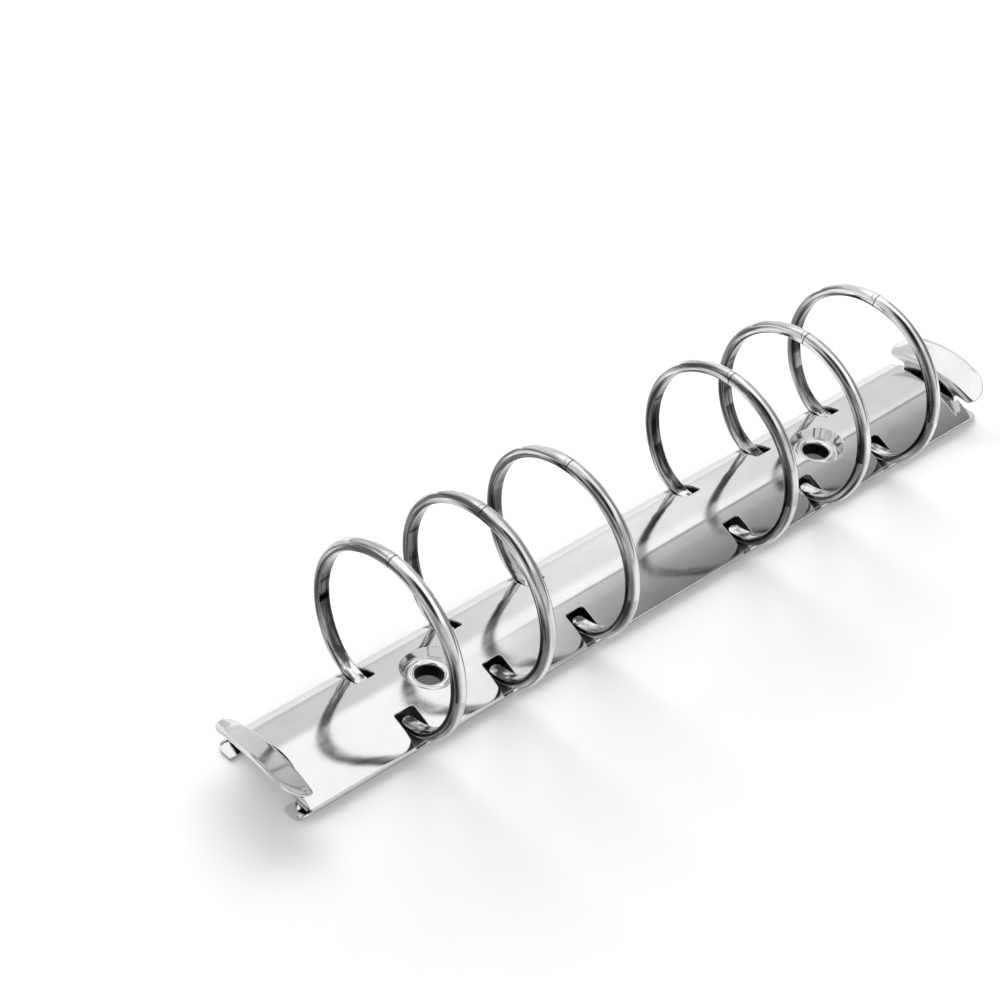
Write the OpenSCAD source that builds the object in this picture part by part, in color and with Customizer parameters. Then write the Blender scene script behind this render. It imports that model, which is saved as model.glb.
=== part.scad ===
// Ring binder mechanism: a sprung sheet-metal cover holds two hinge plates that carry
// six split rings. A lever at each end lifts the plates and parts the rings.
// X runs along the mechanism, Y across it, Z up. The origin is under its middle.

/* [Cover] */
// Length of the cover over its end corners
cover_len = 161.6; // [158:0.1:180]
// Width of the cover over its rolled edges
cover_w = 20.9; // [20.3:0.1:22]
// Outer radius of the arched top
arch_r = 18; // [17:0.1:20]
// Thickness of the cover's sheet
cover_t = 0.4; // [0.35:0.01:0.45]
// Outer radius of the rolled long edges
roll_r = 0.75; // [0.72:0.01:0.85]
// Width of the lip turned in under the long edges
lip_w = 1.1; // [0.7:0.1:1.4]
// How far the arched end is cut back at the crest
end_cut = 2.3; // [1.8:0.1:3]
// How far the arched end is cut back beside the lever
end_cut_side = 1.1; // [0.9:0.1:1.5]
// Radius of the cover's end corners
corner_r = 0.6; // [0.3:0.1:0.8]

/* [End tabs] */
// Reach of the flat tabs past the cover's corners
tab_out = 2.4; // [1.8:0.1:3]
// Length of the flat tabs inside the cover's corners
tab_in = 3.5; // [2:0.1:5]
// Width of the flat tabs
tab_w = 3; // [2.4:0.1:3.2]
// Radius of the tabs' outer corners
tab_corner_r = 1.7; // [0.8:0.1:1.8]

/* [Rings] */
// Distance between neighbouring rings of a group
ring_pitch = 19; // [17:0.5:20]
// Distance between the two middle rings
middle_gap = 38.5; // [36:0.5:40]
// Mean radius of a closed ring
ring_r = 16.73; // [15:0.1:18]
// Height of a ring's centre above the base
ring_z = 15.79; // [15.5:0.1:16.2]
// Width of the half-round ring wire
wire_w = 2.5; // [2:0.1:2.8]
// Thickness of the ring wire
wire_t = 1.9; // [1.6:0.05:2]
// Rounding of the wire's inner corners
wire_edge_r = 0.25; // [0.1:0.05:0.3]
// Angle below horizontal at which the wire leaves the round
leave_angle = 38; // [36:1:42]
// Distance of the foot's nose from the middle
nose_y = 5.1; // [4.9:0.1:5.6]
// Radius of the rivet tenon under each foot
tenon_r = 0.8; // [0.6:0.05:0.9]
// Distance of the tenon from the nose
tenon_in = 1.25; // [1.25:0.05:1.5]
// Radius of the tenon's riveted head
head_r = 1.2; // [1:0.05:1.4]
// Thickness of the tenon's riveted head
head_t = 0.22; // [0.15:0.01:0.24]
// Gap between closed ring halves
seam_gap = 0.1; // [0.08:0.01:0.15]
// Width of the tongue that locks the halves in line
tongue_w = 1.3; // [1:0.1:1.4]
// Length of the tongue past the seam
tongue_len = 0.9; // [0.7:0.1:1.5]
// Distance of the tongue from the wire's middle
tongue_x = 0.45; // [0:0.05:0.5]

/* [Slots] */
// Width of the slots that the rings pass through
slot_w = 4.1; // [3.6:0.1:4.5]
// Distance of a slot's inner edge from the middle
slot_y = 4.45; // [4.2:0.05:4.6]
// Height of the rim left below a slot
rim_h = 0.95; // [0.8:0.01:1]
// Rounding of the slot corners
slot_corner_r = 0.5; // [0.2:0.1:1]

/* [Hinge plates] */
// Thickness of the hinge plates
plate_t = 0.56; // [0.5:0.01:0.58]
// Tilt of the closed plates below level
closed_tilt = 2; // [1.5:0.1:2.2]
// Gap between each plate's inner edge and the middle
plate_gap = 0.12; // [0.1:0.01:0.2]
// Distance from the cover's corner to a plate's end
plate_end = 3; // [2.8:0.1:3.4]
// Length of the raised plate ends
raised_len = 5.2; // [4:0.1:6]
// Step of the raised plate ends
raised_h = 0.6; // [0.55:0.01:0.65]
// Distance of the raised ends' outer edges from the middle
raised_y = 6.4; // [5:0.1:6.5]

/* [Mounting eyelets] */
// Distance between the two mounting holes
hole_pitch = 95.2; // [94:0.1:96]
// Radius of the mounting hole
hole_r = 2.4; // [2:0.05:2.5]
// Wall of the eyelet tube
eyelet_t = 0.4; // [0.3:0.05:0.5]
// Radius of the eyelet's rolled head
eyelet_head_r = 3.7; // [3.4:0.05:3.8]
// Height of the eyelet's rolled head above its seat
eyelet_head_h = 0.5; // [0.4:0.05:0.6]
// Radius of the dish around the eyelet
dish_r = 5.2; // [5:0.1:5.6]
// Radius of the flat floor of the dish
dish_floor_r = 4.1; // [3.8:0.1:4.3]
// Height of the dish floor above the base
dish_z = 2.4; // [2.3:0.05:2.6]
// Radius of the cut-out in the plates around a dish
cutout_r = 6.3; // [6.1:0.1:6.6]

/* [Levers] */
// Thickness of the lever's sheet
lever_t = 0.5; // [0.4:0.05:0.55]
// Distance from the lever's inner face to the cover's end corner
lever_in = 0.8; // [0.7:0.05:0.9]
// Gap between the lever's neck and the end tabs
neck_gap = 0.5; // [0.4:0.1:1.1]
// Height at which the neck bends over into the thumb tab
bend_z = 6.13; // [5.6:0.1:7]
// Inner radius of that bend
bend_r = 0.6; // [0.4:0.1:1]
// Upward slope of the thumb tab
thumb_slope = 14; // [8:0.5:17]
// Radius across the arched thumb tab
thumb_arch_r = 24.4; // [22:0.1:30]
// Distance from the cover's side to the thumb tab's side
thumb_side = 0.1; // [-0.5:0.05:0.9]
// Corner radius of the thumb tab
thumb_corner_r = 4.15; // [3.5:0.05:4.5]
// Distance of the thumb tab's corner centres from the lever's inner face
thumb_corner_in = 1.4; // [1.2:0.1:1.8]
// Reach of the thumb tab past the lever's inner face
thumb_reach = 5.8; // [5.6:0.1:6.6]
// Radius of the pivot ears
ear_r = 0.35; // [0.3:0.01:0.4]
// Gap between a pivot ear's end and the middle of the rolled edge
ear_gap = 0.6; // [0.5:0.1:1.5]
// Half width of the lifting finger
finger_half = 1.5; // [1:0.1:1.6]
// Length of the lifting finger from the lever's inner face
finger_len = 4.1; // [3.6:0.1:4.2]
// Height of the finger's underside above the base
finger_z = 0.12; // [0.1:0.01:0.14]
// Inner radius of the finger's bend
finger_bend_r = 0.3; // [0.2:0.05:0.3]

/* [Hidden] */
$fn = 48;
// Running clearance of the lever's ears and of the rings' tongues
clear = 0.08;
// How far cutting shapes run past what they cut
cut = 2;
// Distance from the concave end cut to the end tabs
notch_gap = 0.1;
// Height of the neck's part that is turned with the thumb tab, and how far the plain neck laps it
stub = 1.5;
stub_lap = 0.15;
rings_per_group = 3;
ring_x = [for (side = [-1, 1], i = [0 : rings_per_group - 1])
    side * (middle_gap / 2 + (side < 0 ? rings_per_group - 1 - i : i) * ring_pitch)];
hole_x = [-hole_pitch / 2, hole_pitch / 2];
half_len = cover_len / 2;
// Arch: it meets each rolled edge where both have the same slope
roll_y = cover_w / 2 - roll_r;
arch_half_angle = asin(roll_y / (arch_r - roll_r));
crest_z = roll_r + arch_r - (arch_r - roll_r) * cos(arch_half_angle);
arch_z = crest_z - arch_r;
tab_y = roll_y - tab_w;
notch_half = tab_y - notch_gap;
dish_flare = (dish_r - dish_floor_r) / (crest_z - dish_z);
dish_wall = cover_t * sqrt(1 + dish_flare * dish_flare);
end_sag = end_cut - end_cut_side;
end_r = (notch_half * notch_half + end_sag * end_sag) / (2 * end_sag);
// Hinge plates: each turns about the middle of its rolled edge
pivot_y = roll_y;
pivot_z = roll_r;
plate_reach = pivot_y - plate_gap;
plate_half_len = half_len - plate_end;
level_half_len = plate_half_len - raised_len;
// Ring foot: a tighter arc runs from the round down onto the tilted plate
foot_sin = sin(leave_angle + closed_tilt);
centre_h = pivot_y * sin(closed_tilt) + (ring_z - pivot_z) * cos(closed_tilt);
foot_h = (plate_t + wire_t) / 2;
foot_r = (centre_h - ring_r * foot_sin - foot_h) / (1 - foot_sin);
foot_y = (ring_r - foot_r) * cos(leave_angle);
foot_z = ring_z - (ring_r - foot_r) * sin(leave_angle);
foot_low = (pivot_y - foot_y) * cos(closed_tilt) - (foot_z - pivot_z) * sin(closed_tilt);
nose = pivot_y - nose_y;
nose_r = 0.56 * wire_w;
nose_angle = asin((nose - foot_low + wire_t / 4) / foot_r);
// Lever: its sheet runs from the thumb tab down the neck and in under the plates
lever_x = half_len - lever_in;
ear_z = cover_t + ear_r + clear;
ear_end = roll_y - ear_gap;
neck_half = tab_y - neck_gap;
thumb_half = cover_w / 2 - thumb_side;
bend_x = lever_x + lever_t + bend_r;
bend_out = bend_r + lever_t;
thumb_axis_z = bend_z + bend_out - thumb_arch_r;
corner_x = lever_x + thumb_corner_in;
corner_y = thumb_half - thumb_corner_r;
crest_in = thumb_reach - thumb_corner_in;
thumb_front_r = (pow(crest_in, 2) + pow(corner_y, 2) - pow(thumb_corner_r, 2))
    / (2 * (crest_in - thumb_corner_r));

// Turns a shape whose (X, Y, Z) stands for (Y, Z, X) of the mechanism
module across() {
    rotate([90, 0, 90]) children();
}
module at_both_ends() {
    children();
    mirror([1, 0, 0]) children();
}
module on_both_sides() {
    children();
    mirror([0, 1, 0]) children();
}
// Places a shape drawn from the back plate's hinge axis, inward along -Y, at the plate's tilt
module on_back_plate() {
    translate([0, pivot_y, pivot_z]) rotate([closed_tilt, 0, 0]) children();
}

// Filled outline of the cover's section in (Y, Z), moved inward by an inset
module cover_outline(inset) {
    far = 2 * arch_r;
    intersection() {
        translate([0, arch_z]) circle(arch_r - inset);
        translate([0, arch_z]) polygon([[0, 0],
            [far * sin(arch_half_angle), far * cos(arch_half_angle)],
            [-far * sin(arch_half_angle), far * cos(arch_half_angle)]]);
        translate([-far, inset]) square([2 * far, far]);
    }
    translate([-roll_y, inset]) square([2 * roll_y, roll_r - inset]);
    for (side = [-1, 1]) translate([side * roll_y, roll_r]) circle(roll_r - inset);
}
// Sheet section of the cover: arched top, rolled edges and the lips turned in under them
module cover_section() {
    difference() {
        cover_outline(inset = 0);
        cover_outline(inset = cover_t);
        translate([lip_w - roll_y, -cut]) square([2 * (roll_y - lip_w), cut + roll_r]);
    }
}
// Flat tab that widens the lip at one end corner
module end_tab() {
    translate([half_len - tab_in, tab_y, 0]) cube([tab_in + tab_out, tab_w, cover_t]);
}
// Cuts the arch off past its end corners, where only the tabs and their curled sides go on
module arch_end_cut() {
    translate([half_len, -cover_w, roll_r]) cube([tab_out + cut, 2 * cover_w, crest_z]);
}
// Takes the corner off a plan so that a round of radius r is left at [x, y]
module round_corner(x, y, r, low) {
    translate([x - r, y - r, low]) difference() {
        cube([r + cut, r + cut, crest_z + cut]);
        cylinder(r = r, h = crest_z + cut);
    }
}
// Slot that a ring wire passes through, from its inner edge out past the rolled edge
module slot_cut() {
    out = cover_w / 2 + cut - slot_y;
    translate([0, slot_y, rim_h]) linear_extrude(height = crest_z) {
        translate([-slot_w / 2, slot_corner_r]) square([slot_w, out]);
        translate([slot_corner_r - slot_w / 2, 0]) square([slot_w - 2 * slot_corner_r, out]);
        for (side = [-1, 1])
            translate([side * (slot_w / 2 - slot_corner_r), slot_corner_r]) circle(slot_corner_r);
    }
}
// Concave cut in the arched end, clear of the lever's neck
module end_notch() {
    translate([half_len - end_cut + end_r, 0, -cut]) intersection() {
        cylinder(r = end_r, h = crest_z + 2 * cut);
        translate([-end_r, -notch_half, 0]) cube([end_r, 2 * notch_half, crest_z + 2 * cut]);
    }
}
// Dish pressed down into the cover around a mounting eyelet: its wall is a cone
module dish_outside() {
    intersection() {
        rotate_extrude() polygon([[0, dish_z - cover_t],
            [dish_floor_r + dish_wall - dish_flare * cover_t, dish_z - cover_t],
            [dish_r + dish_wall, crest_z], [dish_r + dish_wall + dish_flare * cut, crest_z + cut],
            [0, crest_z + cut]]);
        across() translate([0, arch_z, 0])
            cylinder(r = arch_r, h = 4 * dish_r, center = true, $fn = 180);
    }
}
module dish_inside() {
    rotate_extrude() polygon([[0, dish_z], [dish_floor_r, dish_z], [dish_r, crest_z],
        [dish_r, crest_z + cut], [0, crest_z + cut]]);
    translate([0, 0, -cut]) cylinder(r = hole_r + eyelet_t, h = crest_z + 2 * cut);
}
module cover() {
    color([0.86, 0.87, 0.88]) difference() {
        union() {
            across() linear_extrude(height = cover_len + 2 * tab_out, center = true)
                cover_section($fn = 180);
            at_both_ends() on_both_sides() end_tab();
            for (x = hole_x) translate([x, 0, 0]) dish_outside();
        }
        for (x = hole_x) translate([x, 0, 0]) dish_inside();
        for (x = ring_x) translate([x, 0, 0]) on_both_sides() slot_cut();
        at_both_ends() {
            arch_end_cut();
            end_notch();
            on_both_sides() {
                round_corner(half_len, cover_w / 2, corner_r, roll_r);
                round_corner(half_len + tab_out, cover_w / 2, tab_corner_r, -cut);
            }
        }
    }
}

// Hollow rivet with a rolled head that sits on the dish floor
module eyelet(x) {
    edge_r = eyelet_head_h / 2;
    color([0.80, 0.81, 0.82]) translate([x, 0, 0]) rotate_extrude() {
        translate([hole_r, 0]) square([eyelet_t, dish_z]);
        translate([hole_r, dish_z]) square(edge_r);
        translate([hole_r + edge_r, dish_z])
            square([eyelet_head_r - hole_r - 2 * edge_r, eyelet_head_h]);
        for (r = [hole_r, eyelet_head_r - 2 * edge_r])
            translate([r + edge_r, dish_z + edge_r]) circle(edge_r);
    }
}

// Side view of a hinge plate in (X, Z): level middle and raised ends
module plate_profile() {
    half_t = plate_t / 2;
    low = [[-plate_half_len, raised_h], [-level_half_len - raised_h, raised_h], [-level_half_len, 0],
        [level_half_len, 0], [level_half_len + raised_h, raised_h], [plate_half_len, raised_h]];
    high = [for (i = [len(low) - 1 : -1 : 0]) low[i] + [0, half_t]];
    polygon(concat([for (point = low) point - [0, half_t]], high));
}
module hinge_plate() {
    color([0.72, 0.73, 0.75]) on_back_plate() difference() {
        union() {
            rotate([90, 0, 0]) linear_extrude(height = plate_reach) plate_profile();
            rotate([0, 90, 0]) cylinder(r = plate_t / 2, h = 2 * level_half_len, center = true);
        }
        at_both_ends() translate([level_half_len, raised_y - pivot_y, -cut])
            cube([raised_len + cut, pivot_y, 2 * cut]);
        for (x = ring_x) translate([x, tenon_in - nose, -cut]) cylinder(r = tenon_r, h = 2 * cut);
        for (x = hole_x) translate([x, -pivot_y, -cut]) cylinder(r = cutout_r, h = 2 * cut);
    }
}

// Cross-section of the half-round wire: +X points out of the ring, Y along the mechanism
module wire_section() {
    round_x = (wire_t - wire_w) / 2;
    inner = -wire_t / 2;
    intersection() {
        translate([round_x, 0]) circle(wire_w / 2);
        translate([round_x, -wire_w / 2]) square([wire_w / 2, wire_w]);
    }
    translate([inner + wire_edge_r, -wire_w / 2]) square([round_x - inner - wire_edge_r, wire_w]);
    translate([inner, wire_edge_r - wire_w / 2]) square([wire_t / 2, wire_w - 2 * wire_edge_r]);
    for (side = [-1, 1])
        translate([inner + wire_edge_r, side * (wire_w / 2 - wire_edge_r)]) circle(wire_edge_r);
}
// Wire bent by an angle round a centre that lies the bend's radius inward of the start
module wire_bend(radius, angle) {
    translate([-radius, 0, 0]) rotate_extrude(angle = angle) translate([radius, 0]) wire_section();
}
// Plan of what is cut off around a foot's rounded nose
module nose_cut() {
    difference() {
        translate([-wire_w, -wire_w]) square([2 * wire_w, wire_w]);
        circle(nose_r);
    }
}
// Back half of a ring up to its top, with its foot and rivet on the back plate
module half_ring_wire(top_angle) {
    leave = [ring_r * cos(leave_angle), ring_z - ring_r * sin(leave_angle), 0];
    difference() {
        across() translate(leave) rotate([0, 0, -leave_angle]) {
            wire_bend(ring_r, top_angle + leave_angle);
            wire_bend(foot_r, closed_tilt + leave_angle - 90 - nose_angle);
        }
        on_back_plate() translate([0, nose_r - nose, 0])
            linear_extrude(height = plate_t + 2 * wire_t) nose_cut();
    }
    on_back_plate() translate([0, tenon_in - nose, -plate_t / 2]) {
        cylinder(r = tenon_r, h = plate_t + wire_t / 2);
        translate([0, 0, -head_t]) cylinder(r = head_r, h = head_t);
    }
}
// Plan of the tongue that reaches across the seam toward +Y
module tongue_outline(grow) {
    tongue_r = tongue_w / 2;
    translate([-tongue_x, tongue_len - tongue_r]) circle(tongue_r + grow);
    translate([-tongue_x - tongue_r - grow, -cut])
        square([tongue_w + 2 * grow, tongue_len - tongue_r + cut]);
}
// Extrudes a plan over the thickness of the wire at a ring's top
module at_ring_top() {
    translate([0, 0, ring_z + ring_r - wire_t]) linear_extrude(height = 2 * wire_t) children();
}
module back_half_ring(i) {
    color([0.78, 0.79, 0.80]) translate([ring_x[i], 0, 0]) difference() {
        half_ring_wire(90);
        at_ring_top() {
            translate([-wire_w, -cut]) square([2 * wire_w, cut + seam_gap / 2]);
            tongue_outline(clear);
        }
    }
}
module front_half_ring(i) {
    color([0.78, 0.79, 0.80]) translate([ring_x[i], 0, 0]) difference() {
        mirror([0, 1, 0]) half_ring_wire(96);
        at_ring_top() difference() {
            translate([-wire_w, -seam_gap / 2]) square([2 * wire_w, 2 * cut]);
            tongue_outline(0);
        }
    }
}

// Profile of the lever's upper sheet as (radius from the arch axis, X)
module thumb_profile() {
    root = bend_z - thumb_axis_z;
    up = [cos(thumb_slope), -sin(thumb_slope)];
    out = 2 * thumb_reach * [sin(thumb_slope), cos(thumb_slope)];
    far = 2 * bend_out;
    centre = [root, bend_x];
    translate([root - stub, lever_x]) square([stub, lever_t]);
    intersection() {
        translate(centre) difference() {
            circle(bend_out);
            circle(bend_r);
        }
        polygon([centre, centre - [0, far], centre + [far, -far], centre + far * up]);
    }
    polygon([centre + bend_r * up, centre + bend_out * up,
        centre + bend_out * up + out, centre + bend_r * up + out]);
}
// Plan of the thumb tab: a waist at the neck, wings, round corners and a gently curved front
module thumb_outline() {
    front_x = lever_x + thumb_reach - thumb_front_r;
    front_angle = asin(corner_y / (thumb_front_r - thumb_corner_r));
    steps = 10;
    front = [for (i = [0 : steps]) let (a = front_angle * (2 * i / steps - 1))
        [front_x, 0] + thumb_front_r * [cos(a), sin(a)]];
    corner = [for (i = [1 : steps]) let (a = front_angle + (90 - front_angle) * i / steps)
        [corner_x, corner_y] + thumb_corner_r * [cos(a), sin(a)]];
    waist = [[lever_x, neck_half], [lever_x - cut, neck_half]];
    side = concat(corner, waist);
    polygon(concat(front, side, [for (i = [len(side) - 1 : -1 : 0]) [side[i][0], -side[i][1]]]));
}
// Side view of the lifting finger in (X, Z): it turns in from the neck under the plates
module finger_profile() {
    turn_r = finger_bend_r + lever_t;
    turn_x = lever_x - finger_bend_r;
    turn_z = finger_z + turn_r;
    translate([lever_x, turn_z]) square([lever_t, ear_z]);
    translate([turn_x, turn_z]) intersection() {
        difference() {
            circle(turn_r);
            circle(finger_bend_r);
        }
        translate([0, -turn_r]) square(turn_r);
    }
    translate([lever_x - finger_len, finger_z]) square([finger_len - finger_bend_r, lever_t]);
}
module lever() {
    half_turn = 30;
    color([0.84, 0.85, 0.86]) {
        intersection() {
            across() translate([0, thumb_axis_z, 0]) rotate([0, 0, 90 - half_turn])
                rotate_extrude(angle = 2 * half_turn, $fn = 180) thumb_profile($fn = 48);
            linear_extrude(height = 2 * bend_z) thumb_outline();
        }
        translate([lever_x, -neck_half, ear_z - ear_r])
            cube([lever_t, 2 * neck_half, bend_z - stub + stub_lap - ear_z + ear_r]);
        on_both_sides() translate([lever_x + lever_t / 2, neck_half - lever_t, ear_z])
            rotate([-90, 0, 0]) cylinder(r = ear_r, h = ear_end - neck_half + lever_t);
        rotate([90, 0, 0]) linear_extrude(height = 2 * finger_half, center = true) finger_profile();
    }
}

cover();
eyelet(hole_x[0]);  // eyelet_left
eyelet(hole_x[1]);  // eyelet_right
mirror([0, 1, 0]) hinge_plate();  // front_hinge_plate
hinge_plate();  // back_hinge_plate
mirror([1, 0, 0]) lever();  // left_lever
lever();  // right_lever
for (i = [0 : len(ring_x) - 1]) {
    front_half_ring(i);
    back_half_ring(i);
}
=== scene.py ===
"""Ring binder mechanism in bright nickel plate on a white studio floor."""
import math

import bmesh
import bpy
import numpy as np
from mathutils import Matrix, Vector


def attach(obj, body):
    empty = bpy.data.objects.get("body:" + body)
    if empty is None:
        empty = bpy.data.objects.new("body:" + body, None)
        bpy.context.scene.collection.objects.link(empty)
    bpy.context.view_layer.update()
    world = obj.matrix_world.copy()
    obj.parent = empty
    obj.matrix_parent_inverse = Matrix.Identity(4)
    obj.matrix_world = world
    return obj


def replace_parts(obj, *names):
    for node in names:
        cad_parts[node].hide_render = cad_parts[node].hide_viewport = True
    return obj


MM = 0.001
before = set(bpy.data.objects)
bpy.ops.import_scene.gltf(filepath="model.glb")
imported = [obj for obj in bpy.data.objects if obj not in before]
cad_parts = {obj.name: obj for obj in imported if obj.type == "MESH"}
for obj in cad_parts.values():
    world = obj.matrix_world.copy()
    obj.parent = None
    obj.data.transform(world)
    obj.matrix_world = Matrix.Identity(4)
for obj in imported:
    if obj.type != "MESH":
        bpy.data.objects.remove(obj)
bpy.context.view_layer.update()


# Shader nodes. An input that is given a socket is linked to it, and any other is set

def add(tree, kind, inputs=(), **settings):
    """Adds one shader node with its properties and its numbered or named inputs."""
    node = tree.nodes.new(kind)
    for key, setting in settings.items():
        setattr(node, key, setting)
    for name, item in dict(inputs).items():
        if isinstance(item, bpy.types.NodeSocket):
            tree.links.new(item, node.inputs[name])
        else:
            node.inputs[name].default_value = item
    return node


def maths(tree, operation, *items):
    """Number worked out from numbers or sockets."""
    return add(tree, "ShaderNodeMath", enumerate(items), operation=operation).outputs[0]


def vector_maths(tree, operation, *items):
    """Vector worked out from vectors, or the number that a dot product or a length gives."""
    node = add(tree, "ShaderNodeVectorMath", enumerate(items), operation=operation)
    return node.outputs["Value" if operation in ("DOT_PRODUCT", "LENGTH") else "Vector"]


def split_xyz(tree, vector):
    """The three numbers of a vector, by name."""
    return add(tree, "ShaderNodeSeparateXYZ", {0: vector}).outputs


def ramp(tree, number, low, high, start=0.0, end=1.0, smooth=False):
    """Number that goes from start to end while the given one goes from low to high."""
    inputs = {"Value": number, "From Min": low, "From Max": high, "To Min": start, "To Max": end}
    kind = "SMOOTHSTEP" if smooth else "LINEAR"
    return add(tree, "ShaderNodeMapRange", inputs, interpolation_type=kind).outputs["Result"]


def grey_ramp(tree, number, stops):
    """Grey that follows a number through (position, grey) stops."""
    node = add(tree, "ShaderNodeValToRGB", {0: number})
    elements = node.color_ramp.elements
    for i, (position, grey) in enumerate(stops):
        stop = elements[i] if i < 2 else elements.new(position)
        stop.position = position
        stop.color = (grey, grey, grey, 1)
    return node.outputs["Color"]


def noise(tree, place, scale, detail, roughness=0.5):
    """Noise at a place, as a number from 0 to 1."""
    inputs = {"Vector": place, "Scale": scale, "Detail": detail, "Roughness": roughness}
    return add(tree, "ShaderNodeTexNoise", inputs).outputs["Fac"]


def mix_numbers(tree, share, first, second):
    """Number between two, by the second one's share."""
    return add(tree, "ShaderNodeMix", {0: share, 2: first, 3: second}).outputs[0]


def mix_colours(tree, share, first, second, blend="MIX"):
    """Colour between two, or the first blended with the second, by the second one's share."""
    inputs = {0: share, 6: first, 7: second}
    return add(tree, "ShaderNodeMix", inputs, data_type="RGBA", blend_type=blend).outputs[2]


def new_group(name, inputs, outputs):
    """Empty node group with its sockets, {name: kind}, and the sockets of its two end nodes."""
    group = bpy.data.node_groups.new(name, "ShaderNodeTree")
    for way, sockets in (("INPUT", inputs), ("OUTPUT", outputs)):
        for socket, kind in sockets.items():
            group.interface.new_socket(socket, in_out=way, socket_type="NodeSocket" + kind)
    return group, add(group, "NodeGroupInput").outputs, add(group, "NodeGroupOutput").inputs


def link_all(group, sources, targets):
    """Links each named source to the target of the same name."""
    for name, source in sources.items():
        group.links.new(source, targets[name])


# Plating: slow clouds, drawing lines and a slow waviness, shared by every finish

LINE_ROUGHNESS = 0.08
CLOUD_RANGE = (0.35, 0.6)


def plating_group():
    """Node group that gives plated metal its marks.

    Tone is a slow cloud of slightly darker plating. Roughness is a base that the drawing lines
    raise. Height is the sum of a slow waviness and the drawing lines, which are stretched along
    one axis.
    """
    group, given, result = new_group(
        "plating_marks",
        {"Base Roughness": "Float", "Line Strength": "Float", "Wave Scale": "Float",
         "Wave Strength": "Float", "Darkest": "Float", "Place": "Vector",
         "Line Stretch": "Vector", "Cloud Stretch": "Vector"},
        {"Tone": "Float", "Roughness": "Float", "Height": "Float"})
    cloud = noise(group, vector_maths(group, "MULTIPLY", given["Place"], given["Cloud Stretch"]), 1, 3)
    lines = noise(group, vector_maths(group, "MULTIPLY", given["Place"], given["Line Stretch"]),
                  1, 4, 0.7)
    wave = noise(group, add(group, "ShaderNodeTexCoord").outputs["Object"], given["Wave Scale"], 1, 0.3)
    wave_height = maths(group, "MULTIPLY", wave, given["Wave Strength"])
    link_all(group, {
        "Tone": ramp(group, cloud, *CLOUD_RANGE, given["Darkest"]),
        "Roughness": maths(group, "MULTIPLY_ADD", lines, LINE_ROUGHNESS, given["Base Roughness"]),
        "Height": maths(group, "MULTIPLY_ADD", lines, given["Line Strength"], wave_height)}, result)
    return group


# Painted dark reflection where the wire stands upright: its range and darkest tone. Seam: the dark
# joint where the halves meet.
UPRIGHT_RANGE = (0.78, 0.98)
UPRIGHT_TONE = 0.30
SEAM_RANGE = (0.06 * MM, 0.16 * MM)
SEAM_TONE = 0.12


def wire_place_group():
    """Node group for the marks of a ring's wire.

    Place is (X, distance from the ring's centre, angle round it), so that marks run along the
    bent wire. The angle starts anew at middle height on the front side, and marks break there.
    Outward says how far a face looks away from the ring's centre. The third output paints a dark
    reflection where the wire stands upright, and Seam darkens the plating where the two halves meet.
    """
    group, given, result = new_group(
        "place_on_wire", {"Centre Height": "Float"},
        {"Place": "Vector", "Outward": "Float", "Painted Reflection": "Float", "Seam": "Float"})
    place = add(group, "ShaderNodeTexCoord").outputs
    point = split_xyz(group, place["Object"])
    up = maths(group, "SUBTRACT", point["Z"], given["Centre Height"])
    angle = maths(group, "ARCTAN2", up, point["Y"])
    flat = add(group, "ShaderNodeCombineXYZ", {1: point["Y"], 2: up}).outputs[0]
    radius = vector_maths(group, "LENGTH", flat)
    spoke = vector_maths(group, "NORMALIZE", flat)
    # How upright the wire stands, which sets where the dark reflection is painted
    upright = maths(group, "ABSOLUTE", vector_maths(group, "DOT_PRODUCT", spoke, (0, 1, 0)))
    aside = maths(group, "ABSOLUTE", point["Y"])
    link_all(group, {
        "Place": add(group, "ShaderNodeCombineXYZ", {0: point["X"], 1: radius, 2: angle}).outputs[0],
        "Outward": vector_maths(group, "DOT_PRODUCT", place["Normal"], spoke),
        "Painted Reflection": ramp(group, upright, *UPRIGHT_RANGE, 1.0, UPRIGHT_TONE, smooth=True),
        "Seam": ramp(group, aside, *SEAM_RANGE, SEAM_TONE)}, result)
    return group


MARKS = plating_group()
WIRE_PLACE = wire_place_group()
RING_Z = 15.79
WHITE = (1, 1, 1, 1)

# Painted dark reflections on the wire's sides and inner face: the stretch of their streaks over Place,
# the noise that they lie between, and the masks of sides and inner face
STREAKS = (900.0, 1500.0, 1.1)
STREAK_RANGE = (0.42, 0.56)
FLANK_RANGE = (0.30, 0.72)
INNER_RANGE = (-0.05, -0.6)


def with_painted_reflections(tree, wire, tint, flank_reflection_tone):
    """Tint of the wire with painted dark reflections: streaks down to the given tone on its sides and
    its inner face, made darker again where the wire stands upright, and the darker joint where the two
    halves meet, both of which the wire group gives."""
    turned = split_xyz(tree, add(tree, "ShaderNodeTexCoord").outputs["Normal"])["X"]
    side = ramp(tree, maths(tree, "ABSOLUTE", turned), *FLANK_RANGE, smooth=True)
    inner = ramp(tree, wire["Outward"], *INNER_RANGE, smooth=True)
    mottle = noise(tree, vector_maths(tree, "MULTIPLY", wire["Place"], STREAKS), 1, 3)
    # Painted dark reflection, streaked along the wire, on the sides and inner face only
    painted_reflection = maths(tree, "MULTIPLY", ramp(tree, mottle, *STREAK_RANGE, flank_reflection_tone), wire["Painted Reflection"])
    painted_dark_tint = mix_colours(tree, maths(tree, "MAXIMUM", side, inner), WHITE, painted_reflection)
    joint = add(tree, "ShaderNodeVectorMath", {0: painted_dark_tint, "Scale": wire["Seam"]}, operation="SCALE")
    return mix_colours(tree, 1, tint, joint.outputs[0], "MULTIPLY")


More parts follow.
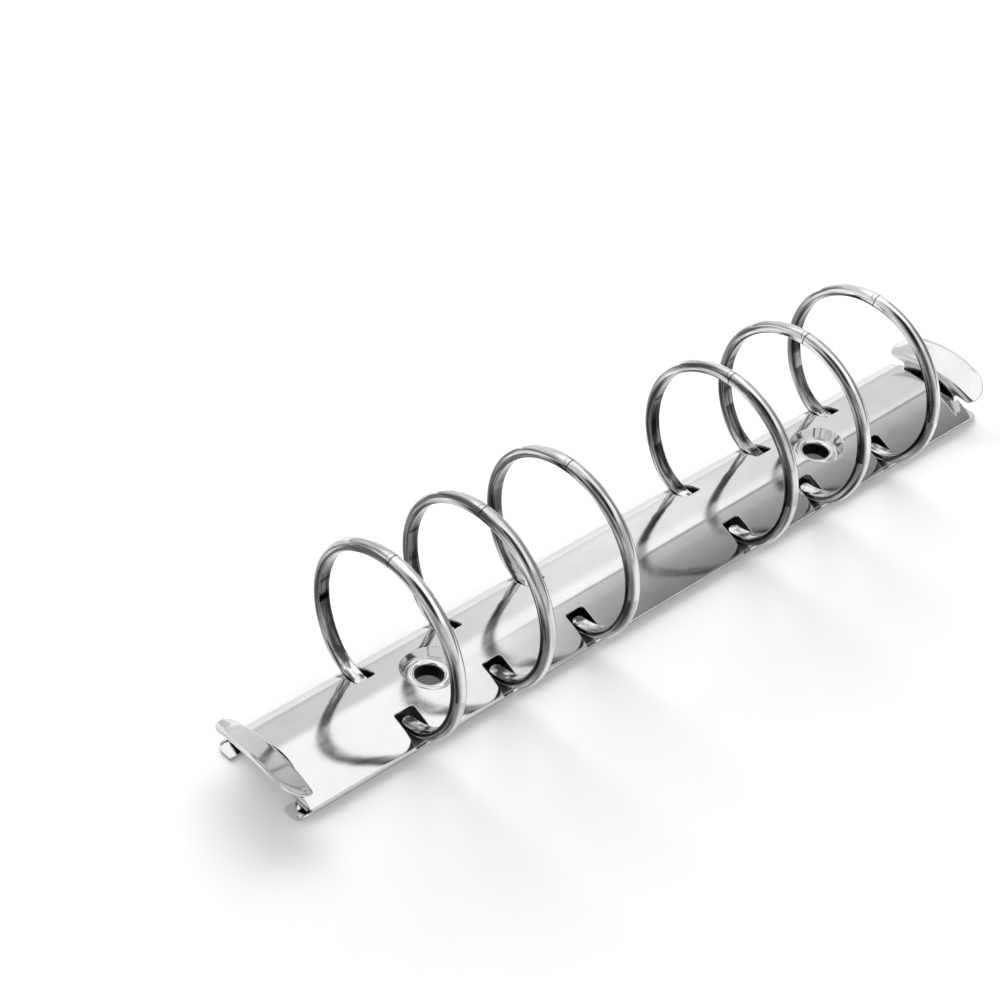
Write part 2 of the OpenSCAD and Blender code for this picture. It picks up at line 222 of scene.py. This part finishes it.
# Painted shade in the eyelets' tubes: the heights over which it fades in below the head, and its
# near-black colour
BORE_RANGE = (2.15 * MM, 2.6 * MM)
BORE_COLOUR = (0.035, 0.035, 0.035, 1)


def painted_bore_shade(tree, tint):
    """Tint of an eyelet with painted shade below its head, where the tube is."""
    height = split_xyz(tree, add(tree, "ShaderNodeTexCoord").outputs["Object"])["Z"]
    return mix_colours(tree, ramp(tree, height, *BORE_RANGE, smooth=True), BORE_COLOUR, tint)


BUMP_DEPTH = 0.00025


def plated_metal(name, grey, roughness, stretch, lines, wave_scale, wave, darkest,
                 edge=0.00012, cloud=(160.0, 160.0, 160.0), flank_reflection_tone=None, bore=False):
    """Metal whose colour, roughness and normal follow the plating marks at its own values. Given a dark
    tone for the rings, its colour also gets painted dark reflections; given a bore, it gets painted
    shade in the eyelet's tube. Its edges are shaded as if rounded by the edge's radius."""
    material = bpy.data.materials.new(name)
    material.use_nodes = True
    tree = material.node_tree
    if flank_reflection_tone:
        wire = add(tree, "ShaderNodeGroup", node_tree=WIRE_PLACE)
        wire.inputs["Centre Height"].default_value = RING_Z * MM
        place = wire.outputs["Place"]
    else:
        place = add(tree, "ShaderNodeTexCoord").outputs["Object"]
    marks = add(tree, "ShaderNodeGroup", {
        "Base Roughness": roughness, "Line Strength": lines, "Wave Scale": wave_scale,
        "Wave Strength": wave, "Darkest": darkest, "Line Stretch": stretch,
        "Cloud Stretch": cloud, "Place": place}, node_tree=MARKS).outputs
    tint = mix_colours(tree, 1, (grey, grey, grey, 1), marks["Tone"], "MULTIPLY")
    if flank_reflection_tone:
        tint = with_painted_reflections(tree, wire.outputs, tint, flank_reflection_tone)
    if bore:
        tint = painted_bore_shade(tree, tint)
    rounded = add(tree, "ShaderNodeBevel", {"Radius": edge}, samples=6)
    relief = add(tree, "ShaderNodeBump", {
        "Strength": 1.0, "Distance": BUMP_DEPTH, "Height": marks["Height"],
        "Normal": rounded.outputs["Normal"]})
    shader = tree.nodes["Principled BSDF"]
    shader.inputs["Metallic"].default_value = 1
    link_all(tree, {"Base Color": tint, "Roughness": marks["Roughness"],
                    "Normal": relief.outputs["Normal"]}, shader.inputs)
    return material


# Stretch of the drawing lines: along X, along the bent wire, and across
ALONG_X = (150.0, 6000.0, 6000.0)
ROUND_RING = (5000.0, 5000.0, 5.0)
ACROSS = (3000.0, 400.0, 3000.0)

cover_metal = plated_metal("cover_plating", 0.72, 0.05, ALONG_X, lines=0.010, wave_scale=60,
                           wave=0.12, darkest=0.95, edge=0.00022)
ring_metal = plated_metal("ring_wire_plating", 0.86, 0.035, ROUND_RING, lines=0.02, wave_scale=300,
                          wave=0.12, darkest=0.55, cloud=(900, 1200, 1.6), flank_reflection_tone=0.14)
lever_metal = plated_metal("lever_plating", 0.72, 0.06, ACROSS, lines=0.015, wave_scale=150,
                           wave=0.2, darkest=0.9, edge=0.00025)
eyelet_metal = plated_metal("eyelet_plating", 0.76, 0.05, ACROSS, lines=0.015, wave_scale=200,
                            wave=0.1, darkest=0.85, bore=True)
hinge_metal = plated_metal("hinge_plate_plating", 0.55, 0.25, ALONG_X, lines=0.03, wave_scale=120,
                           wave=0.1, darkest=0.7)

FINISH = {"cover": cover_metal, "eyelet": eyelet_metal, "left_lever": lever_metal,
          "right_lever": lever_metal, "front_half": ring_metal, "back_half": ring_metal,
          "front_hinge": hinge_metal, "back_hinge": hinge_metal}
for name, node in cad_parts.items():
    finish = next(metal for start, metal in FINISH.items() if name.startswith(start))
    node.data.materials.clear()
    node.data.materials.append(finish)


def quads_of(grid, start=0, close_rows=False):
    """Faces of a grid of points (rows u, columns v), numbered from a start. Neighbours make quads,
    the last column joins the first, and so does the last row if asked."""
    rows, columns = grid.shape[:2]
    u = np.arange(rows if close_rows else rows - 1)[:, None]
    v = np.arange(columns)[None, :]
    next_u, next_v = (u + 1) % rows, (v + 1) % columns
    return start + np.stack([u * columns + v, u * columns + next_v, next_u * columns + next_v,
                             next_u * columns + v], axis=-1).reshape(-1, 4)


def mesh_piece(name, points, faces, material, body):
    """Smooth mesh object at the origin that rides on a body and takes a slot's finish."""
    mesh = bpy.data.meshes.new(name)
    mesh.from_pydata(points.reshape(-1, 3).tolist(), [], faces.tolist())
    mesh.validate()
    mesh.polygons.foreach_set("use_smooth", np.ones(len(mesh.polygons), bool))
    mesh.materials.append(material)
    piece = bpy.data.objects.new(name, mesh)
    bpy.context.scene.collection.objects.link(piece)
    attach(piece, body)
    return piece


def arc(centre, radii, start, end, steps):
    """Points of an elliptical arc in a plane, by angle in degrees from start to end."""
    angle = np.radians(np.linspace(start, end, steps))
    return np.stack([centre[0] + radii[0] * np.cos(angle), centre[1] + radii[1] * np.sin(angle)], -1)


# Sizes in mm of the eyelets
HOLE_X = 47.6
HOLE_R = 2.4
TUBE_R = 2.8
HEAD_R = 3.7
HEAD_H = 0.5
SEAT_Z = 2.4


def eyelet_piece(name, x):
    """Lathe: the closed (radius, height) profile turns about the mounting hole's axis. The tube
    flares over into a full, rolled head whose top is half an ellipse and whose rim is round."""
    lip = 0.08
    middle = (HOLE_R + HEAD_R) / 2
    half = (HEAD_R - HOLE_R) / 2
    profile = np.concatenate([
        arc((HOLE_R + lip, lip), (lip, lip), 180, 270, 4),
        arc((TUBE_R - lip, lip), (lip, lip), 270, 360, 4),
        [[TUBE_R, SEAT_Z - 0.02], [TUBE_R + 0.02, SEAT_Z]],
        arc((HEAD_R - lip, SEAT_Z + lip), (lip, lip), 270, 350, 5),
        arc((middle, SEAT_Z + lip), (half, HEAD_H - lip), 8, 172, 33),
        [[HOLE_R, SEAT_Z - 0.1], [HOLE_R, SEAT_Z - 0.8], [HOLE_R, SEAT_Z / 2]]])
    turn = np.linspace(0, 2 * np.pi, 97)[:-1, None]
    radius, height = profile[None, :, 0], profile[None, :, 1] + 0 * turn
    points = np.stack([x + radius * np.cos(turn), radius * np.sin(turn), height], -1) * MM
    faces = quads_of(points, close_rows=True)
    return mesh_piece(name, points, faces, eyelet_metal, "frame")


# Sizes in mm of the levers, made for the right one
LEVER_X = 80.0
LEVER_T = 0.5
BEND_R = 0.85
BEND_X = LEVER_X + LEVER_T / 2 + BEND_R
BEND_Z = 6.13
TAB_SLOPE = math.radians(14)
TAB_ARCH_R = 24.4
TAB_AXIS_Z = BEND_Z + BEND_R + LEVER_T / 2 - TAB_ARCH_R
TAB_REACH = 5.8
TAB_HALF = 10.35
TAB_CORNER_R = 4.15
TAB_CURL = 0.4
CURL_FROM = 0.78
FAN_POINT = (1.6, 0.0)
TAB_CORNER_X = LEVER_X + 1.4
WING_R = 1.7
WING_FOOT = (-0.75, 7.2)
NECK_TOP = -1.1
NECK_HALF = 6.2
NECK_LOW_Z = 0.48
EAR_R = 0.35
EAR_Z = 0.83
EAR_END = 9.1
FINGER_HALF = 1.5
FINGER_LEN = 4.1
FINGER_Z = 0.12
BEND_TURN = math.pi / 2 - TAB_SLOPE


def along_sheet(x):
    """Distance along the lever's middle sheet, from the start of its bend, of a plan X."""
    on_bend = BEND_R * np.arccos(np.clip((BEND_X - x) / BEND_R, math.cos(BEND_TURN), 1))
    past = np.maximum(x - (BEND_X - BEND_R * math.cos(BEND_TURN)), 0)
    return on_bend + past / math.cos(TAB_SLOPE)


def lever_outline(count=420, blur=5):
    """Outline of the flat lever as (distance along the sheet, Y): a wide arc at the front, round
    corners, wings down to the waist, and the straight neck. It is resampled evenly, and a short
    moving average rounds its corners."""
    corner_y = TAB_HALF - TAB_CORNER_R
    reach = TAB_REACH - (TAB_CORNER_X - LEVER_X)
    front_r = (reach ** 2 + corner_y ** 2 - TAB_CORNER_R ** 2) / (2 * (reach - TAB_CORNER_R))
    front_x = LEVER_X + TAB_REACH - front_r
    turn = math.degrees(math.asin(corner_y / (front_r - TAB_CORNER_R)))
    front = arc((front_x, 0), (front_r, front_r), 0, turn, 60)
    corner = arc((TAB_CORNER_X, corner_y), (TAB_CORNER_R, TAB_CORNER_R), turn, 90, 60)[1:]
    plan = np.concatenate([front, corner])
    flat = np.stack([along_sheet(plan[:, 0]), plan[:, 1]], -1)
    tip = flat[-1]
    inner = arc((tip[0], TAB_HALF - WING_R), (WING_R, WING_R), 90, 160, 30)[1:]
    neck_low = NECK_LOW_Z - BEND_Z
    neck = [WING_FOOT, (NECK_TOP, NECK_HALF), (neck_low, NECK_HALF), (neck_low, 0)]
    half = np.concatenate([flat, inner, neck])
    loop = np.concatenate([half, half[-2:0:-1] * (1, -1)])
    ring = np.concatenate([loop, loop[:1]])
    steps = np.concatenate([[0], np.cumsum(np.linalg.norm(np.diff(ring, axis=0), axis=1))])
    even = np.linspace(0, steps[-1], count, endpoint=False)
    points = np.stack([np.interp(even, steps, ring[:, i]) for i in range(2)], -1)
    return sum(np.roll(points, k, axis=0) for k in range(-blur, blur + 1)) / (2 * blur + 1)


def bend_sheet(flat, lift):
    """Bent lever sheet from flat (distance along it, Y) and the height above its middle.

    Above zero the sheet follows the bend's arc and then the straight slope, and the whole profile
    is turned about the arch's axis. Below zero it drops straight down as the neck."""
    along, y = flat[..., 0], flat[..., 1]
    turn = np.clip(along / BEND_R, 0, BEND_TURN)
    past = np.maximum(along - BEND_R * BEND_TURN, 0)
    out_x, out_r = -np.cos(turn), np.sin(turn)
    x = BEND_X + BEND_R * out_x + past * math.cos(TAB_SLOPE)
    root = BEND_Z - TAB_AXIS_Z
    radius = root + BEND_R * out_r + past * math.sin(TAB_SLOPE)
    tilt = y / radius
    level = np.sqrt(1 - tilt ** 2)
    z = TAB_AXIS_Z + radius * level
    root_z = TAB_AXIS_Z + np.sqrt(root ** 2 - y ** 2)
    drop = np.clip(along / (NECK_LOW_Z - BEND_Z), 0, None)
    z = np.where(along < 0, root_z + drop * (NECK_LOW_Z - root_z), z)
    return np.stack([x + lift * out_x, y + lift * out_r * tilt, z + lift * out_r * level], -1)


def lever_sheet():
    """Closed grid of the lever's sheet: from a middle point on top, rays run out to the outline,
    go half round its full rim, and run back underneath. The tab's edge turns up a little."""
    edge = lever_outline()
    side = np.roll(edge, -1, axis=0) - np.roll(edge, 1, axis=0)
    outward = np.stack([side[:, 1], -side[:, 0]], -1)
    outward /= np.linalg.norm(outward, axis=1, keepdims=True)
    outward *= np.sign((outward * (edge - edge.mean(axis=0))).sum())
    half_t = LEVER_T / 2
    inner = edge - half_t * outward
    middle = np.array(FAN_POINT)
    share = 1 - (1 - np.linspace(0.02, 1, 56)) ** 1.25
    rays = middle + share[:, None, None] * (inner - middle)
    rim_turn = np.radians(np.linspace(90, -90, 13))[1:-1, None, None]
    rim = inner + half_t * np.cos(rim_turn) * outward
    flat = np.concatenate([rays, rim, rays[::-1]])
    lift = np.concatenate([np.full(len(rays), half_t), half_t * np.sin(rim_turn[:, 0, 0]),
                           np.full(len(rays), -half_t)])
    reach = np.concatenate([share, np.ones(len(rim)), share[::-1]])
    curl = TAB_CURL * np.clip((reach - CURL_FROM) / (1 - CURL_FROM), 0, 1)[:, None] ** 2
    return bend_sheet(flat, lift[:, None] + curl * np.clip((flat[..., 0] - 0.8) / 1.6, 0, 1))


def capped(grid):
    """Adds a row at each end that is that end's middle, so that the grid closes there."""
    ends = [np.broadcast_to(grid[i].mean(axis=0), grid[i].shape) for i in (0, -1)]
    return np.concatenate([ends[0][None], grid, ends[1][None]])


def round_bar(path, wide, thick, corner):
    """Bar with a rounded rectangle as its section, carried along a path in X and Z. Its width lies
    along Y, and its ends draw in by a quarter round."""
    turn = np.radians(np.arange(0, 360, 7.5))
    spread = np.stack([np.clip(np.cos(turn) * 9, -1, 1) * (wide - corner) + corner * np.cos(turn),
                       np.clip(np.sin(turn) * 9, -1, 1) * (thick - corner) + corner * np.sin(turn)], -1)
    along = np.gradient(path, axis=0)
    along /= np.linalg.norm(along, axis=1, keepdims=True)
    up = np.stack([-along[:, 1], along[:, 0]], -1)
    rows = []
    draw = np.radians(np.linspace(90, 0, 4))
    ends = [(0, -1, d) for d in draw] + [(i, 0, 0) for i in range(1, len(path) - 1)] + \
        [(len(path) - 1, 1, d) for d in draw[::-1]]
    for i, way, d in ends:
        middle = path[i] + way * along[i] * corner * (math.sin(d) - 1 if way else 0)
        shrink = corner * (1 - math.cos(d)) if way else 0
        y = spread[:, 0] - np.sign(spread[:, 0]) * np.minimum(shrink, np.abs(spread[:, 0]))
        off = spread[:, 1] - np.sign(spread[:, 1]) * np.minimum(shrink, np.abs(spread[:, 1]))
        rows.append(np.stack([middle[0] + off * up[i, 0], y, middle[1] + off * up[i, 1]], -1))
    return capped(np.array(rows))


def finger_grid():
    """Lifting finger: down from the neck, round a tight bend and inward under the plates."""
    half_t = LEVER_T / 2
    bend = 0.3 + half_t
    middle_x, low_z = LEVER_X + half_t, FINGER_Z + half_t
    path = np.concatenate([
        [[middle_x, 2.2], [middle_x, 1.6], [middle_x, low_z + bend + 0.1]],
        arc((middle_x - bend, low_z + bend), (bend, bend), 0, -90, 9),
        np.stack([np.linspace(middle_x - bend - 0.3, LEVER_X - FINGER_LEN, 8), np.full(8, low_z)], -1)])
    return round_bar(path, FINGER_HALF, half_t, 0.12)


def ear_grid(sign):
    """Pivot ear: a round pin along Y from the neck's side into the rolled edge."""
    turn = np.radians(np.arange(0, 360, 15))
    reach = np.array([5.9, 6.4, 7.5, 8.6, EAR_END - 0.1, EAR_END - 0.03, EAR_END])
    radius = np.array([1, 1, 1, 1, 1, 0.9, 0.7]) * EAR_R
    ring = np.stack([LEVER_X + LEVER_T / 2 + radius[:, None] * np.cos(turn),
                     sign * reach[:, None] + 0 * turn, EAR_Z + radius[:, None] * np.sin(turn)], -1)
    return capped(ring)


def joined_piece(name, grids, material, body, flip):
    """One piece from several closed grids, with doubled cap points merged and faces outward."""
    points, faces, start = [], [], 0
    for grid in grids:
        points.append(grid.reshape(-1, 3))
        faces.append(quads_of(grid, start))
        start += points[-1].shape[0]
    points = np.concatenate(points) * MM
    if flip:
        points = points * (-1, 1, 1)
    piece = mesh_piece(name, points, np.concatenate(faces), material, body)
    shell = bmesh.new()
    shell.from_mesh(piece.data)
    bmesh.ops.remove_doubles(shell, verts=shell.verts, dist=1e-7)
    bmesh.ops.recalc_face_normals(shell, faces=shell.faces)
    shell.to_mesh(piece.data)
    shell.free()
    piece.data.polygons.foreach_set("use_smooth", np.ones(len(piece.data.polygons), bool))
    return piece


def lever_piece(name, body, flip):
    """Lever of one end: its sheet, finger and two ears, mirrored in X if asked."""
    grids = [capped(lever_sheet()), finger_grid(), ear_grid(1), ear_grid(-1)]
    return joined_piece(name, grids, lever_metal, body, flip)


for side, sign in (("left", -1), ("right", 1)):
    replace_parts(eyelet_piece(side + "_rolled_eyelet", sign * HOLE_X), "eyelet_" + side)
    lever = side + "_lever"
    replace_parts(lever_piece(side + "_thumb_lever", lever, sign < 0), lever)


# Camera: azimuth, elevation and roll in degrees, its place and its lens in mm
CAMERA_TURN = (-46.598, 39.75, 5.849)
CAMERA_PLACE = (-254.43, -207.40, 284.31)
CAMERA_LENS = 89.70


def set_camera():
    """Camera that looks down on the mechanism from beyond its near end and front side."""
    azimuth, elevation, roll = (math.radians(a) for a in CAMERA_TURN)
    back = Vector((math.sin(azimuth) * math.cos(elevation), -math.cos(azimuth) * math.cos(elevation),
                   math.sin(elevation)))
    right = Vector((0, 0, 1)).cross(back).normalized()
    up = back.cross(right)
    turned_right = math.cos(roll) * right + math.sin(roll) * up
    turned_up = math.cos(roll) * up - math.sin(roll) * right
    place = Matrix((turned_right, turned_up, back)).transposed().to_4x4()
    place.translation = Vector(CAMERA_PLACE) * MM
    data = bpy.data.cameras.new("camera")
    data.sensor_width = 36
    data.lens = CAMERA_LENS
    data.clip_start = 0.01
    camera = bpy.data.objects.new("camera", data)
    camera.matrix_world = place
    bpy.context.scene.collection.objects.link(camera)
    bpy.context.scene.camera = camera


FLOOR_SIZE = 6
FLOOR_GLOW = 0.05


def make_floor():
    """Wide white floor that keeps its shadows. A weak glow that only the camera sees lifts it."""
    bpy.ops.mesh.primitive_plane_add(size=FLOOR_SIZE, location=(0, 0, 0))
    floor = bpy.context.object
    floor.name = "floor"
    material = bpy.data.materials.new("white_floor")
    material.use_nodes = True
    tree = material.node_tree
    shader = tree.nodes["Principled BSDF"]
    for socket, setting in (("Base Color", WHITE), ("Roughness", 1), ("Specular IOR Level", 0),
                            ("Emission Color", WHITE)):
        shader.inputs[socket].default_value = setting
    camera_ray = add(tree, "ShaderNodeLightPath").outputs["Is Camera Ray"]
    tree.links.new(maths(tree, "MULTIPLY", camera_ray, FLOOR_GLOW), shader.inputs["Emission Strength"])
    floor.data.materials.append(material)


# The room that gloss sees, by direction: greys of two walls, and where its parts begin and end
BACK_WALL = ((0.48, 0.64), (0.53, 0.72), (0.59, 0.86), (0.67, 0.70), (0.80, 0.55))
CEILING_RANGE = (0.60, 0.72)
SIDE_SHIFT = 0.4
SIDE_WALL = ((0.0, 0.20), (0.35, 0.34), (0.665, 0.56), (0.672, 0.25), (0.70, 0.25))
SIDE_WALL_X = (0.515, 0.575)
SIDE_WALL_END = (0.705, 0.70)
OPENING_WAY = (-0.593, -0.243, 0.768)
OPENING_RANGE = (0.885, 0.955)
OPENING_LIGHT = 0.08
LOW_RANGE = (0.0, 0.15)
LOW_LIGHT = (1.05, 1.3)

# The other lights: on matt surfaces by height, thrown back by metal, and the ground seen
SOFT_RANGE = (0.5, 0.85)
SOFT_LIGHT = (1.18, 0.12)
THROWN_LIGHT = 0.02
GROUND = (0.8, 0.8, 0.8, 1)


def room_light(tree, way):
    """Light of the room by direction: a white ceiling, a back wall and a side wall whose greys
    change along them, all dimmer near the floor, and a dark opening."""
    point = split_xyz(tree, way)
    above = ramp(tree, point["Z"], *CEILING_RANGE, smooth=True)
    ceiling = mix_numbers(tree, above, grey_ramp(tree, point["X"], BACK_WALL), 1.0)
    along = maths(tree, "ADD", point["Y"], SIDE_SHIFT)
    beside = maths(tree, "MULTIPLY", ramp(tree, point["X"], *SIDE_WALL_X, smooth=True),
                   ramp(tree, along, *SIDE_WALL_END))
    walls = mix_numbers(tree, beside, ceiling, grey_ramp(tree, along, SIDE_WALL))
    grounded = maths(tree, "MULTIPLY", walls, ramp(tree, point["Z"], *LOW_RANGE, *LOW_LIGHT))
    toward = vector_maths(tree, "DOT_PRODUCT", way, OPENING_WAY)
    opening = ramp(tree, toward, *OPENING_RANGE, 1.0, OPENING_LIGHT, smooth=True)
    return maths(tree, "MULTIPLY", grounded, opening)


def set_world():
    """White studio with three lights by the kind of ray. The camera sees a plain pale ground.
    Matt surfaces get a soft light that fades toward the top. Gloss sees the room, which is
    nearly dark for what metal throws back on matt surfaces."""
    world = bpy.data.worlds.new("studio")
    bpy.context.scene.world = world
    world.use_nodes = True
    tree = world.node_tree
    tree.nodes.clear()
    way = add(tree, "ShaderNodeTexCoord").outputs["Generated"]
    path = add(tree, "ShaderNodeLightPath").outputs
    soft = ramp(tree, split_xyz(tree, way)["Z"], *SOFT_RANGE, *SOFT_LIGHT)
    thrown = maths(tree, "GREATER_THAN", path["Diffuse Depth"], 0.5)
    gloss_light = mix_numbers(tree, thrown, room_light(tree, way), THROWN_LIGHT)
    seen = add(tree, "ShaderNodeBackground", {"Color": GROUND, "Strength": 1.0})
    lit = add(tree, "ShaderNodeBackground", {"Color": WHITE, "Strength": soft})
    room = add(tree, "ShaderNodeBackground", {"Color": WHITE, "Strength": gloss_light})
    gloss = add(tree, "ShaderNodeMixShader", {0: path["Is Glossy Ray"], 1: lit.outputs[0],
                                              2: room.outputs[0]})
    camera = add(tree, "ShaderNodeMixShader", {0: path["Is Camera Ray"], 1: gloss.outputs[0],
                                               2: seen.outputs[0]})
    add(tree, "ShaderNodeOutputWorld", {"Surface": camera.outputs[0]})


LAMP_TARGET = (0, 0, 0.01)


def add_lamp(name, place, size, power):
    """Rectangular lamp that looks at the mechanism and doesn't show in gloss."""
    data = bpy.data.lights.new(name, "AREA")
    data.shape = "RECTANGLE"
    data.size, data.size_y = size
    data.energy = power
    lamp = bpy.data.objects.new(name, data)
    lamp.location = place
    lamp.visible_glossy = False
    lamp.rotation_euler = (Vector(LAMP_TARGET) - Vector(place)).to_track_quat("-Z", "Y").to_euler()
    bpy.context.scene.collection.objects.link(lamp)


set_camera()
make_floor()
set_world()
add_lamp("key", (0.70, 1.10, 0.65), (1.8, 0.7), 28)
bpy.context.scene.view_settings.view_transform = "Standard"
